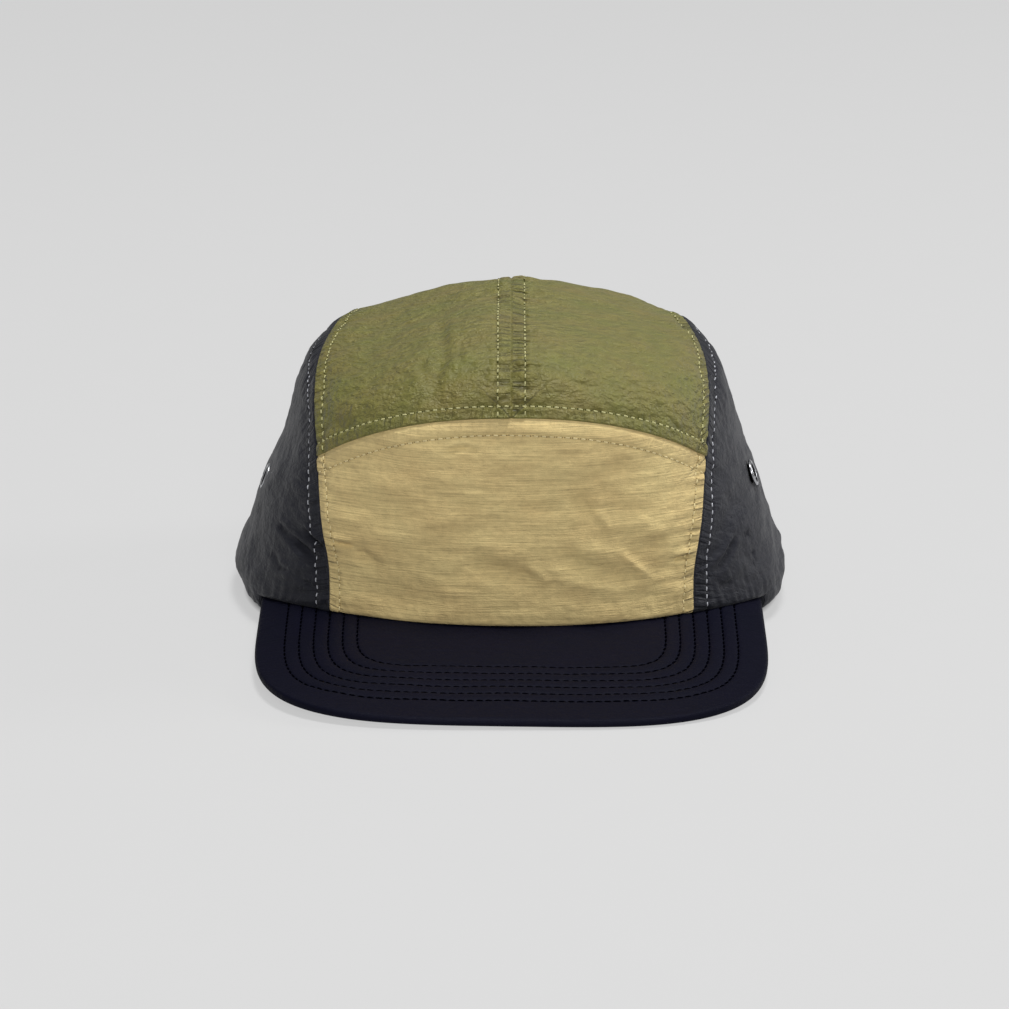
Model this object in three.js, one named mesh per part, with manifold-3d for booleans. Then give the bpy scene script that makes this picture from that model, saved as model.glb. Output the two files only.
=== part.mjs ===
import * as THREE from "three";
import { mergeVertices } from "three/addons/utils/BufferGeometryUtils.js";
import Module from "manifold-3d";

// Soft five panel cap with a flat stitched peak, standing on a level surface.
// Millimetres, +Z up, the peak points to -Y, the wearer's left is +X.
// The crown's own middle is the origin of every formula, and the finished cap is
// moved by CROWN_Y so that the origin lies under the middle of the whole cap.

const CROWN_Y = 32.8;
const CLOTH = 1.4;
const SEAM_GAP = 0.45;
const SEAT = 0.35;

// Crown outline at each height: half width, reach to the front and to the back
const SECTIONS = [
  { height: 0, half: 95.5, front: 85, back: 84, squareness: 2.3 },
  { height: 6, half: 99.8, front: 86.5, back: 88, squareness: 2.3 },
  { height: 27, half: 95.4, front: 87.5, back: 90, squareness: 2.4 },
  { height: 48, half: 88, front: 88.5, back: 89, squareness: 2.6 },
  { height: 68, half: 80.6, front: 88.5, back: 86, squareness: 2.75 },
  { height: 88, half: 75.8, front: 88, back: 81, squareness: 2.85 },
  { height: 114, half: 71.5, front: 87, back: 72, squareness: 2.9 },
];
const CENTRE_Z = 27;

// Roof of the crown: a flat ridge that slopes away to both shoulders
const ROOF_HEIGHT = 113.3;
const ROOF_RIDGE_Y = -5;
const ROOF_SLOPE = 0.27;
const ROOF_ROUND = 18;
const ROOF_DROP_FRONT = 0.0009;
const ROOF_DROP_BACK = 0.0036;
const SHOULDER = 10;

// Half width of the middle strip of panels, by pitch: 0 front, 90 up, 180 back
const SIDE_SEAM = [
  { pitch: -15, half: 64.5 },
  { pitch: 0, half: 64.5 },
  { pitch: 15, half: 67 },
  { pitch: 33, half: 68.5 },
  { pitch: 48, half: 70 },
  { pitch: 65, half: 69.5 },
  { pitch: 90, half: 65.5 },
  { pitch: 130, half: 59 },
  { pitch: 160, half: 55 },
  { pitch: 205, half: 52 },
];

// Curved seam between the front panel and the two top panels
const ARC_PITCH = 35.3;
const ARC_DROP = 1.8;
const ARC_HALF = 67;

// Peak
const PEAK_HALF = 89.8;
const PEAK_FRONT = -156.5;
const PEAK_REAR = -42;
const PEAK_TAIL = -43;
const PEAK_MID = -71;
const PEAK_SQUARENESS = 3.6;
const PEAK_SLOPE = 0.132;
const PEAK_LIFT = 0.42;
const PEAK_TWIST = 0.015;
const PEAK_ARCH = 8.5;
const PEAK_THICK = 3;
const PEAK_CHAMFER = 0.8;
const PEAK_ROOT_HALF = 76;
const PEAK_ROOT_FRONT = -80;
const PEAK_ROOT_SQUARENESS = 2.3;

// Lower edge: over the peak at the front, down to the floor at the sides and back
const HEM_DIP = -16;
const ARCH_HALF = 48;
const ARCH_HEIGHT = 44;

// Closing strap inside the back opening, and its slider
const STRAP_LOW = 4;
const STRAP_WIDTH = 19;
const STRAP_THICK = 1.6;
const STRAP_HALF = 63;
const STRAP_SET = CLOTH + SEAT;
const SLIDER_X = 13;
const SLIDER_LONG = 11;
const SLIDER_BAR = 1.8;
const SLIDER_ROOM = 0.6;

// Vent eyelets
const EYELET_HOLE = 3.45;
const EYELETS = [
  { name: "eyelet_left", side: -1, y: -12.5, z: 45 },
  { name: "eyelet_right", side: 1, y: -20.1, z: 48.8 },
];
const EYELET_PROFILE = [
  { radius: 2.35, rise: -2.4 },
  { radius: 2.9, rise: -2.75 },
  { radius: 4.4, rise: -2.65 },
  { radius: 4.7, rise: -2 },
  { radius: 3, rise: -1.95 },
  { radius: 3, rise: 0.5 },
  { radius: 4.85, rise: 0.5 },
  { radius: 4.6, rise: 0.95 },
  { radius: 3.6, rise: 1.25 },
  { radius: 2.7, rise: 1.1 },
  { radius: 2.35, rise: 0.6 },
];

// Soft hollows where the cloth has sunk: centre, direction, size and depth
const HOLLOWS = [
  { face: -1, x: -25, z: 97, lean: 84, long: 9, wide: 6, depth: 1.4 },
  { face: -1, x: 46, z: 35, lean: -35, long: 14, wide: 6, depth: 1.2 },
  { face: -1, x: 18, z: 58, lean: 12, long: 24, wide: 12, depth: 1.2 },
  { face: -1, x: -73, z: 36, lean: -46, long: 10, wide: 5, depth: 1.3 },
  { face: -1, x: 76, z: 40, lean: 60, long: 12, wide: 5, depth: 1.2 },
  { face: 1, x: 40, z: 62, lean: 25, long: 20, wide: 11, depth: 1.3 },
  { face: 1, x: -34, z: 74, lean: -30, long: 18, wide: 10, depth: 1.2 },
];

// Mesh counts
const HALF_COLUMNS = 11;
const FRONT_ROWS = 11;
const TOP_ROWS = 24;
const SIDE_ROWS = 10;
const PEAK_COLUMNS = 44;
const PEAK_STEPS = [0, 0.1, 0.3, 0.5, 0.7, 0.87];
const STRAP_COLUMNS = 22;
const SOLVE_STEPS = 34;

const COLOURS = {
  khaki: { color: 0xb09e6d, roughness: 0.85, metalness: 0 },
  olive: { color: 0x7f7a50, roughness: 0.85, metalness: 0 },
  charcoal: { color: 0x36363c, roughness: 0.85, metalness: 0 },
  black: { color: 0x1e1e26, roughness: 0.9, metalness: 0 },
  steel: { color: 0xb9bbbd, roughness: 0.3, metalness: 1 },
};

const wasm = await Module();
wasm.setup();

// Smooth value of one column of a table, straight on beyond its ends
function readTable(rows, key, column, at) {
  const last = rows.length - 1;
  const slope = (i) => {
    if (i === 0) return (rows[1][column] - rows[0][column]) / (rows[1][key] - rows[0][key]);
    const before = rows[i][key] - rows[i - 1][key];
    const fall = rows[i][column] - rows[i - 1][column];
    if (i === last) return fall / before;
    const after = rows[i + 1][key] - rows[i][key];
    const rise = rows[i + 1][column] - rows[i][column];
    return (before * before * rise + after * after * fall) / (before * after * (before + after));
  };
  if (at <= rows[0][key]) return rows[0][column] + slope(0) * (at - rows[0][key]);
  if (at >= rows[last][key]) return rows[last][column] + slope(last) * (at - rows[last][key]);
  let i = 0;
  while (at > rows[i + 1][key]) i += 1;
  const span = rows[i + 1][key] - rows[i][key];
  const t = (at - rows[i][key]) / span;
  const keep = 2 * t ** 3 - 3 * t ** 2 + 1;
  const out = (t ** 3 - 2 * t ** 2 + t) * span * slope(i);
  const into = (t ** 3 - t ** 2) * span * slope(i + 1);
  return keep * rows[i][column] + out + (1 - keep) * rows[i + 1][column] + into;
}

// Below 1 inside the crown, 1 on its surface
function crownLevel(x, y, z) {
  const half = readTable(SECTIONS, "height", "half", z);
  const reach = readTable(SECTIONS, "height", y < 0 ? "front" : "back", z);
  const power = readTable(SECTIONS, "height", "squareness", z);
  const round = (Math.abs(x) / half) ** power + (Math.abs(y) / reach) ** power;
  const drop = y < ROOF_RIDGE_Y ? ROOF_DROP_FRONT : ROOF_DROP_BACK;
  const sideDrop = ROOF_SLOPE * (Math.hypot(x, ROOF_ROUND) - ROOF_ROUND);
  const roof = ROOF_HEIGHT - sideDrop - drop * (y - ROOF_RIDGE_Y) ** 2;
  const rise = Math.max(0, (z - CENTRE_Z) / (Math.max(roof, CENTRE_Z + 5) - CENTRE_Z));
  return (round ** (SHOULDER / power) + rise ** SHOULDER) ** (1 / SHOULDER);
}

// Largest distance for which inside() still holds
function solve(inside, low, high) {
  for (let i = 0; i < SOLVE_STEPS; i += 1) {
    const middle = (low + high) / 2;
    if (inside(middle)) low = middle;
    else high = middle;
  }
  return (low + high) / 2;
}

// Crown point on a ray from the middle of the crown
function rayPoint(direction) {
  const d = direction.clone().normalize();
  const r = solve((m) => crownLevel(d.x * m, d.y * m, CENTRE_Z + d.z * m) < 1, 20, 180);
  return new THREE.Vector3(d.x * r, d.y * r, CENTRE_Z + d.z * r);
}

// Crown point at a given x in the plane through the X axis at a given pitch
function pitchPoint(pitch, x) {
  const y = -Math.cos(THREE.MathUtils.degToRad(pitch));
  const z = Math.sin(THREE.MathUtils.degToRad(pitch));
  const r = solve((m) => crownLevel(x, y * m, CENTRE_Z + z * m) < 1, 5, 180);
  return new THREE.Vector3(x, y * r, CENTRE_Z + z * r);
}

function crownNormal(p) {
  const e = 0.02;
  return new THREE.Vector3(
    crownLevel(p.x + e, p.y, p.z) - crownLevel(p.x - e, p.y, p.z),
    crownLevel(p.x, p.y + e, p.z) - crownLevel(p.x, p.y - e, p.z),
    crownLevel(p.x, p.y, p.z + e) - crownLevel(p.x, p.y, p.z - e)
  ).normalize();
}

// How far the cloth has sunk at a point
function hollowDepth(p) {
  let depth = 0;
  for (const row of HOLLOWS) {
    if (p.y * row.face < 0) continue;
    const lean = THREE.MathUtils.degToRad(row.lean);
    const along = (p.x - row.x) * Math.cos(lean) + (p.z - row.z) * Math.sin(lean);
    const across = (p.z - row.z) * Math.cos(lean) - (p.x - row.x) * Math.sin(lean);
    depth += row.depth * Math.exp(-((along / row.long) ** 2) - (across / row.wide) ** 2);
  }
  return depth;
}

// Height of the peak's top: it rises to the back, curves down at both ends and leans to +X in front
function peakTop(x, y) {
  const reach = y - PEAK_FRONT - PEAK_CHAMFER;
  const back = reach / (PEAK_REAR - PEAK_FRONT);
  const curve = PEAK_ARCH * back * (Math.abs(x) / PEAK_HALF) ** 4;
  return PEAK_THICK + PEAK_LIFT + PEAK_SLOPE * reach - curve - PEAK_TWIST * (1 - back) * x;
}

// Height of the crown's lower edge above the floor
function hemHeight(x, y) {
  if (y > 0) {
    const turn = Math.min(Math.abs(x) / ARCH_HALF, 1);
    return ARCH_HEIGHT * Math.cos((turn * Math.PI) / 2) ** 1.6;
  }
  const t = THREE.MathUtils.clamp((HEM_DIP - y) / (HEM_DIP - PEAK_REAR), 0, 1);
  const seat = peakTop(x, Math.min(y, PEAK_REAR + 12)) + SEAT;
  return seat * t * t * (3 - 2 * t);
}

// Pitch at which one fraction of the middle strip reaches the lower edge
function hemPitch(part, inset, back) {
  const over = (pitch) => {
    const p = pitchPoint(pitch, stripX(pitch, part, inset));
    return p.z > hemHeight(p.x, p.y);
  };
  if (back) return solve(over, 140, 215);
  return -solve((pitch) => over(-pitch), -25, 25);
}

function stripX(pitch, part, inset) {
  return part * (readTable(SIDE_SEAM, "pitch", "half", pitch) - inset);
}

function arcPitch(part) {
  const x = part * readTable(SIDE_SEAM, "pitch", "half", ARC_PITCH);
  return ARC_PITCH - ARC_DROP * (Math.abs(x) / ARC_HALF) ** 1.8;
}

// Outer and inner point of the cloth wall, the inner one level at the lower edge
function wallPair(p, onHem) {
  const normal = crownNormal(p);
  const outer = p.clone().addScaledVector(normal, -hollowDepth(p));
  const inner = outer.clone();
  if (!onHem) return [outer, inner.addScaledVector(normal, -CLOTH)];
  outer.z = hemHeight(outer.x, outer.y);
  inner.addScaledVector(new THREE.Vector3(normal.x, normal.y, 0).normalize(), -CLOTH);
  inner.z = hemHeight(inner.x, inner.y);
  return [outer, inner];
}

function signedVolume(position, index) {
  const a = new THREE.Vector3();
  const b = new THREE.Vector3();
  const c = new THREE.Vector3();
  let volume = 0;
  for (let i = 0; i < index.length; i += 3) {
    a.fromBufferAttribute(position, index[i]);
    b.fromBufferAttribute(position, index[i + 1]);
    c.fromBufferAttribute(position, index[i + 2]);
    volume += a.dot(b.cross(c)) / 6;
  }
  return volume;
}

// Merge corners that coincide, drop triangles that vanish and turn faces outward
function cleanGeometry(geometry) {
  geometry.deleteAttribute("normal");
  geometry.deleteAttribute("uv");
  const merged = mergeVertices(geometry, 1e-4);
  const source = merged.index.array;
  const index = [];
  for (let i = 0; i < source.length; i += 3) {
    const [a, b, c] = [source[i], source[i + 1], source[i + 2]];
    if (a !== b && b !== c && c !== a) index.push(a, b, c);
  }
  if (signedVolume(merged.getAttribute("position"), index) < 0) index.reverse();
  merged.setIndex(index);
  merged.computeVertexNormals();
  return merged;
}

// Closed sheet between two grids of points with the same rows and columns
function sheetGeometry(upper, lower) {
  const rows = upper.length;
  const columns = upper[0].length;
  const points = [...upper.flat(), ...lower.flat()];
  const half = rows * columns;
  const index = [];
  const quad = (a, b, c, d) => index.push(a, b, c, a, c, d);
  const at = (i, j) => i * columns + j;
  for (let i = 0; i + 1 < rows; i += 1) {
    for (let j = 0; j + 1 < columns; j += 1) {
      const ring = [at(i, j), at(i, j + 1), at(i + 1, j + 1), at(i + 1, j)];
      quad(...ring);
      quad(...ring.map((k) => k + half).reverse());
    }
  }
  const rim = [];
  for (let j = 0; j + 1 < columns; j += 1) rim.push(at(0, j));
  for (let i = 0; i + 1 < rows; i += 1) rim.push(at(i, columns - 1));
  for (let j = columns - 1; j > 0; j -= 1) rim.push(at(rows - 1, j));
  for (let i = rows - 1; i > 0; i -= 1) rim.push(at(i, 0));
  rim.forEach((a, k) => {
    const b = rim[(k + 1) % rim.length];
    quad(b, a, a + half, b + half);
  });
  const geometry = new THREE.BufferGeometry().setFromPoints(points);
  geometry.setIndex(index);
  return cleanGeometry(geometry);
}

function wallGeometry(grid) {
  const walls = grid.map((row) => row.map(({ point, onHem }) => wallPair(point, onHem)));
  const outer = walls.map((row) => row.map((pair) => pair[0]));
  const inner = walls.map((row) => row.map((pair) => pair[1]));
  return sheetGeometry(outer, inner);
}

function makeMesh(name, geometry, colour) {
  const mesh = new THREE.Mesh(geometry, new THREE.MeshStandardMaterial(COLOURS[colour]));
  mesh.name = name;
  return mesh;
}

function spread(from, to, count) {
  return Array.from({ length: count + 1 }, (_, i) => from + ((to - from) * i) / count);
}

const arcGap = THREE.MathUtils.radToDeg(SEAM_GAP / 2 / 105);

// Rows of points between two pitches for the given fractions of the strip
function stripGrid(parts, rows, fromPitch, toPitch, hemRow) {
  const ends = parts.map((part) => [fromPitch(part), toPitch(part)]);
  return spread(0, 1, rows).map((t, i) =>
    parts.map((part, j) => {
      const pitch = THREE.MathUtils.lerp(ends[j][0], ends[j][1], t);
      return { point: pitchPoint(pitch, stripX(pitch, part, SEAM_GAP / 2)), onHem: i === hemRow };
    })
  );
}

function frontPanel() {
  const parts = spread(-1, 1, HALF_COLUMNS * 2);
  const low = (part) => hemPitch(part, SEAM_GAP / 2, false);
  const high = (part) => arcPitch(part) - arcGap;
  return makeMesh("front_panel", wallGeometry(stripGrid(parts, FRONT_ROWS, low, high, 0)), "khaki");
}

function topPanel(name, side) {
  const middle = SEAM_GAP / 2 / readTable(SIDE_SEAM, "pitch", "half", 90);
  const parts = spread(middle, 1, HALF_COLUMNS).map((part) => part * side);
  const low = (part) => arcPitch(part) + arcGap;
  const back = (part) => hemPitch(part, SEAM_GAP / 2, true);
  return makeMesh(name, wallGeometry(stripGrid(parts, TOP_ROWS, low, back, TOP_ROWS)), "olive");
}

// Direction on the lower edge at a turn about the crown's middle, 0 at the front
function hemDirection(turn) {
  const at = (rise) => new THREE.Vector3(Math.sin(turn), -Math.cos(turn), rise);
  const rise = solve((m) => {
    const p = rayPoint(at(m));
    return p.z < hemHeight(p.x, p.y);
  }, -0.7, 0.4);
  return at(rise).normalize();
}

function fromCentre(p) {
  return new THREE.Vector3(p.x, p.y, p.z - CENTRE_Z);
}

// Side panel: columns run from the side seam down to the lower edge
function sideWall(side) {
  const ends = [hemPitch(side, -SEAM_GAP / 2, false), hemPitch(side, -SEAM_GAP / 2, true)];
  const arc = arcPitch(side);
  const front = spread(ends[0], arc, FRONT_ROWS);
  const pitches = [...front, ...spread(arc, ends[1], TOP_ROWS).slice(1)];
  const seam = pitches.map((pitch) => pitchPoint(pitch, stripX(pitch, side, -SEAM_GAP / 2)));
  const turns = [seam[0], seam[seam.length - 1]].map((p) => Math.atan2(p.x, -p.y));
  const grid = seam.map((top, j) => {
    const share = j / (seam.length - 1);
    const corner = j === 0 || j === seam.length - 1;
    const high = fromCentre(top).normalize();
    const low = hemDirection(THREE.MathUtils.lerp(turns[0], turns[1], share));
    return spread(0, 1, SIDE_ROWS).map((v, i) => {
      const point = corner || v === 0 ? top : rayPoint(high.clone().lerp(low, v));
      return { point, onHem: corner || i === SIDE_ROWS };
    });
  });
  return wallGeometry(grid);
}

function toManifold(geometry) {
  return new wasm.Manifold(
    new wasm.Mesh({
      numProp: 3,
      vertProperties: new Float32Array(geometry.getAttribute("position").array),
      triVerts: new Uint32Array(geometry.index.array),
    })
  );
}

function fromManifold(solid) {
  const mesh = solid.getMesh();
  const geometry = new THREE.BufferGeometry();
  geometry.setAttribute("position", new THREE.BufferAttribute(mesh.vertProperties, 3));
  geometry.setIndex(new THREE.BufferAttribute(mesh.triVerts, 1));
  geometry.computeVertexNormals();
  return geometry;
}

// Place of an eyelet: on the crown, its axis along the cloth's outward direction
function eyeletPlace(row) {
  const x = solve((m) => crownLevel(row.side * m, row.y, row.z) < 1, 20, 120) * row.side;
  const point = new THREE.Vector3(x, row.y, row.z);
  const axis = crownNormal(point);
  point.addScaledVector(axis, -hollowDepth(point));
  const turn = new THREE.Quaternion().setFromUnitVectors(new THREE.Vector3(0, 1, 0), axis);
  return new THREE.Matrix4().compose(point, turn, new THREE.Vector3(1, 1, 1));
}

function sidePanel(name, side) {
  const wall = toManifold(sideWall(side));
  const row = EYELETS.find((eyelet) => eyelet.side === side);
  const punch = new THREE.CylinderGeometry(EYELET_HOLE, EYELET_HOLE, 12, 20);
  punch.applyMatrix4(eyeletPlace(row));
  return makeMesh(name, fromManifold(wall.subtract(toManifold(cleanGeometry(punch)))), "charcoal");
}

function eyelet(row) {
  const profile = EYELET_PROFILE.map(({ radius, rise }) => new THREE.Vector2(radius, rise));
  profile.push(profile[0].clone());
  const mesh = makeMesh(row.name, cleanGeometry(new THREE.LatheGeometry(profile, 22)), "steel");
  mesh.applyMatrix4(eyeletPlace(row));
  return mesh;
}

// Rounded curve of the peak in plan, from its left end to its right end
function planCurve(half, start, middle, front, squareness) {
  const points = [new THREE.Vector3(-half, start, 0)];
  for (const angle of spread(0, Math.PI, 72)) {
    const c = Math.cos(angle);
    const x = -half * Math.sign(c) * Math.abs(c) ** (2 / squareness);
    const y = middle + (front - middle) * Math.sin(angle) ** (2 / squareness);
    if (y < start) points.push(new THREE.Vector3(x, y, 0));
  }
  points.push(new THREE.Vector3(half, start, 0));
  return new THREE.CatmullRomCurve3(points, false, "chordal").getSpacedPoints(PEAK_COLUMNS);
}

function peak() {
  const root = planCurve(
    PEAK_ROOT_HALF, PEAK_TAIL, PEAK_TAIL, PEAK_ROOT_FRONT, PEAK_ROOT_SQUARENESS
  );
  const edge = planCurve(PEAK_HALF, PEAK_TAIL, PEAK_MID, PEAK_FRONT, PEAK_SQUARENESS);
  const surface = (lift, chamfer) =>
    root.map((inner, j) => {
      const length = inner.distanceTo(edge[j]);
      const steps = [...PEAK_STEPS, 1 - PEAK_CHAMFER / length, 1];
      return steps.map((t) => {
        const p = inner.clone().lerp(edge[j], t);
        p.z = peakTop(p.x, p.y) + lift + (t === 1 ? chamfer : 0);
        return p;
      });
    });
  const geometry = sheetGeometry(surface(0, -PEAK_CHAMFER), surface(-PEAK_THICK, PEAK_CHAMFER));
  return makeMesh("peak", geometry, "black");
}

// Point of the strap: straight up its width, a given depth behind the crown's outside
function strapPoint(x, share, depth) {
  const [low, high] = [STRAP_LOW, STRAP_LOW + STRAP_WIDTH].map((z) => {
    const p = new THREE.Vector3(x, solve((m) => crownLevel(x, m, z) < 1, 20, 120), z);
    return p.addScaledVector(crownNormal(p), -STRAP_SET);
  });
  const up = high.clone().sub(low);
  const inward = new THREE.Vector3().crossVectors(crownNormal(high).cross(up), up).normalize();
  return low.lerp(high, share).addScaledVector(inward, depth);
}

function backStrap() {
  const surface = (depth) =>
    spread(-STRAP_HALF, STRAP_HALF, STRAP_COLUMNS).map((x) =>
      spread(0, 1, 3).map((share) => strapPoint(x, share, depth))
    );
  const geometry = sheetGeometry(surface(0), surface(STRAP_THICK));
  return makeMesh("back_strap", geometry, "black");
}

function roundedLoop(wide, high, radius) {
  const target = new THREE.Shape();
  target.moveTo(-wide, -high + radius);
  target.lineTo(-wide, high - radius);
  target.quadraticCurveTo(-wide, high, -wide + radius, high);
  target.lineTo(wide - radius, high);
  target.quadraticCurveTo(wide, high, wide, high - radius);
  target.lineTo(wide, -high + radius);
  target.quadraticCurveTo(wide, -high, wide - radius, -high);
  target.lineTo(-wide + radius, -high);
  target.quadraticCurveTo(-wide, -high, -wide, -high + radius);
  return target;
}

function slab(wide, high, long, radius, bevel) {
  const geometry = new THREE.ExtrudeGeometry(roundedLoop(wide - bevel, high - bevel, radius), {
    depth: long - 2 * bevel,
    steps: 1,
    curveSegments: 3,
    bevelEnabled: bevel > 0,
    bevelThickness: bevel,
    bevelSize: bevel,
    bevelSegments: 1,
  });
  geometry.translate(0, 0, bevel - long / 2);
  return toManifold(cleanGeometry(geometry));
}

// Slider: a plain flat loop round the strap
function strapBuckle() {
  const deep = STRAP_THICK / 2 + SLIDER_ROOM;
  const high = STRAP_WIDTH / 2 + SLIDER_ROOM;
  const frame = slab(deep + SLIDER_BAR, high + SLIDER_BAR, SLIDER_LONG, 1, 0.4);
  const geometry = fromManifold(frame.subtract(slab(deep, high, SLIDER_LONG * 2, 0.5, 0)));
  const depth = STRAP_THICK / 2;
  const middle = (x) => strapPoint(x, 0.5, depth);
  const along = middle(SLIDER_X + 4).sub(middle(SLIDER_X - 4));
  const up = strapPoint(SLIDER_X, 1, depth).sub(strapPoint(SLIDER_X, 0, depth));
  const z = along.normalize();
  const x = new THREE.Vector3().crossVectors(up, z).normalize();
  const y = new THREE.Vector3().crossVectors(z, x);
  const mesh = makeMesh("strap_buckle", geometry, "black");
  mesh.applyMatrix4(new THREE.Matrix4().makeBasis(x, y, z));
  mesh.position.copy(middle(SLIDER_X));
  return mesh;
}

const cap = new THREE.Group();
cap.add(frontPanel());
cap.add(topPanel("top_panel_left", -1));
cap.add(topPanel("top_panel_right", 1));
cap.add(sidePanel("side_panel_left", -1));
cap.add(sidePanel("side_panel_right", 1));
cap.add(peak());
cap.add(backStrap());
cap.add(strapBuckle());
for (const row of EYELETS) cap.add(eyelet(row));
cap.position.y = CROWN_Y;

export default cap;
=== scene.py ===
import math

import bmesh
import bpy
import numpy as np
from mathutils import Matrix, Vector


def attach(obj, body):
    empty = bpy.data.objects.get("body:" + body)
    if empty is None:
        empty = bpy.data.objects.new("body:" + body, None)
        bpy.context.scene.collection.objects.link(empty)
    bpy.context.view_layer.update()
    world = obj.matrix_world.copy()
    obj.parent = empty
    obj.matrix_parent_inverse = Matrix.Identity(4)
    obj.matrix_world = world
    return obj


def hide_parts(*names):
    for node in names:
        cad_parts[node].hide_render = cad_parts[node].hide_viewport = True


# Looks of a soft five panel cap with a flat stitched peak. Shapes are worked out in
# millimetres about the middle of the crown and moved into the frame by place().

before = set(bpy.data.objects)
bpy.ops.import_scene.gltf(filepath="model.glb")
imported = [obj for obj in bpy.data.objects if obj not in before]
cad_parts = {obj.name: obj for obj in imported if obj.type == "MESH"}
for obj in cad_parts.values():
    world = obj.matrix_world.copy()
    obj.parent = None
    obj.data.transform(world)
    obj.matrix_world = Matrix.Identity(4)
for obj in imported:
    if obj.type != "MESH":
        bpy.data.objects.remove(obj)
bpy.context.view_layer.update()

MM = 0.001
CROWN_Y = 32.8

# Crown: height, half width, reach to the front and back, squareness of the outline
SECTIONS = np.array([
    (0, 95.5, 85, 84, 2.3),
    (6, 99.8, 86.5, 88, 2.3),
    (27, 95.4, 87.5, 90, 2.4),
    (48, 88, 88.5, 89, 2.6),
    (68, 80.6, 88.5, 86, 2.75),
    (88, 75.8, 88, 81, 2.85),
    (114, 71.5, 87, 72, 2.9),
])
CENTRE_Z = 27
ROOF_HEIGHT = 113.3
ROOF_RIDGE_Y = -5
ROOF_SLOPE = 0.27
ROOF_ROUND = 18
ROOF_DROP_FRONT = 0.0009
ROOF_DROP_BACK = 0.0036
ROOF_LEAST = 5
SHOULDER = 10

# Half width of the middle strip of panels by pitch: 0 front, 90 up, 180 back
SIDE_SEAM = np.array([
    (-15, 64.5), (0, 64.5), (15, 67), (33, 68.5), (48, 70),
    (65, 69.5), (90, 65.5), (130, 59), (160, 55), (205, 52),
])
ARC_PITCH = 35.3
ARC_DROP = 1.8
ARC_HALF = 67

# Peak and lower edge
PEAK_HALF = 89.8
PEAK_FRONT = -156.5
PEAK_REAR = -42
PEAK_TAIL = -43
PEAK_MID = -71
PEAK_SQUARENESS = 3.6
PEAK_SLOPE = 0.132
PEAK_LIFT = 0.42
PEAK_TWIST = 0.015
PEAK_ARCH = 8.5
PEAK_THICK = 3
PEAK_CHAMFER = 0.8
PEAK_ROOT_HALF = 76
PEAK_ROOT_FRONT = -80
PEAK_ROOT_SQUARENESS = 2.3
SEAT = 0.35
HEM_DIP = -16
HEM_SEATED = 12
HEM_TAIL = 3.5
HEM_TAIL_FROM = -1
HEM_TAIL_TO = 0.4
ARCH_HALF = 48
ARCH_HEIGHT = 44
ARCH_POWER = 1.6

# Strap and slider
STRAP_LOW = 4
STRAP_WIDTH = 19
STRAP_THICK = 1.6
STRAP_HALF = 63
STRAP_SET = 1.75
STRAP_ROLL = 0.62
STRAP_ROLL_WIDE = 0.7
STRAP_RIB = 0.10
STRAP_RIB_STEP = 2.7
SLIDER_X = 13
SLIDER_LONG = 11
SLIDER_BAR = 1.8
SLIDER_ROOM = 0.6
SLIDER_ROUND = 0.7

# Soft hollows: face (-1 front, 1 back), x, z, lean, long, wide, depth
HOLLOWS = [
    (-1, -25, 97, 84, 9, 6, 1.4),
    (-1, 46, 35, -35, 14, 6, 1.2),
    (-1, 18, 58, 12, 24, 12, 1.2),
    (-1, -73, 36, -46, 10, 5, 1.3),
    (-1, 76, 40, 60, 12, 5, 1.2),
    (-1, -50, 105, 20, 15, 8, 1.3),
    (1, -50, 105, 20, 15, 8, 1.3),
    (1, 40, 62, 25, 20, 11, 1.3),
    (1, -34, 74, -30, 18, 10, 1.2),
]

# Folds that the front view shows: x and height of both ends, bend, width and depth.
# Height is where the line of sight, VIEW_RISE degrees down, crosses the front face.
VIEW_RISE = 17
FRONT_Y = -85
KHAKI_FOLDS = [
    (-64, 43.5, -54.5, 41.5, 0.4, 1, 1.35),
    (-56, 41.8, -44.5, 33, 0.8, 2.2, 1.05),
    (-18, 38, 10, 29.3, 1.2, 3.6, 1.35),
    (5, 35.5, 14.5, 27.3, 0.4, 1.7, -0.9),
    (13, 41, 47, 30, 3, 3.4, 1.5),
    (37, 40.5, 49.5, 30, 0.3, 1.5, -1.2),
    (56, 36, 64, 37.8, -0.3, 0.9, 1.2),
    (45, 42, 56, 43.3, 0.4, 2.4, 0.75),
    (-24, 74.4, -10.5, 75, -2.6, 1, 0.75),
    (34, 70.4, 42, 72.6, 0.5, 3.2, 0.75),
    (21, 61.5, 30, 51, 0.5, 2.6, 0.9),
    (29, 56, 36, 46.5, 0.5, 1.6, -0.9),
    (-60, 60, -28, 52, 1.5, 5, 0.75),
    (-50, 24, -20, 21, 1, 4, 0.6),
    (20, 24, 60, 22, -1, 4, 0.6),
]
OLIVE_FOLDS = [
    (-25.5, 127, -23, 112, 0.4, 2, 0.8),
    (-23, 113, -28.5, 96, 0.5, 2.2, 1.2),
    (-31.5, 111, -30, 98, -0.4, 1.5, 0.7),
    (-62, 119, -53, 126, 0.4, 1, -0.7),
    (-60, 118.5, -50, 124.5, 0.2, 0.9, 0.6),
    (-41, 125.5, -24, 133.5, 0.5, 1.3, -0.6),
    (-19.5, 100, -17.5, 95, 0.6, 0.7, -0.5),
    (14, 104, 34, 99, 0.8, 1.3, 0.4),
    (30, 116, 52, 108, 1, 4.5, 0.6),
]
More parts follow.
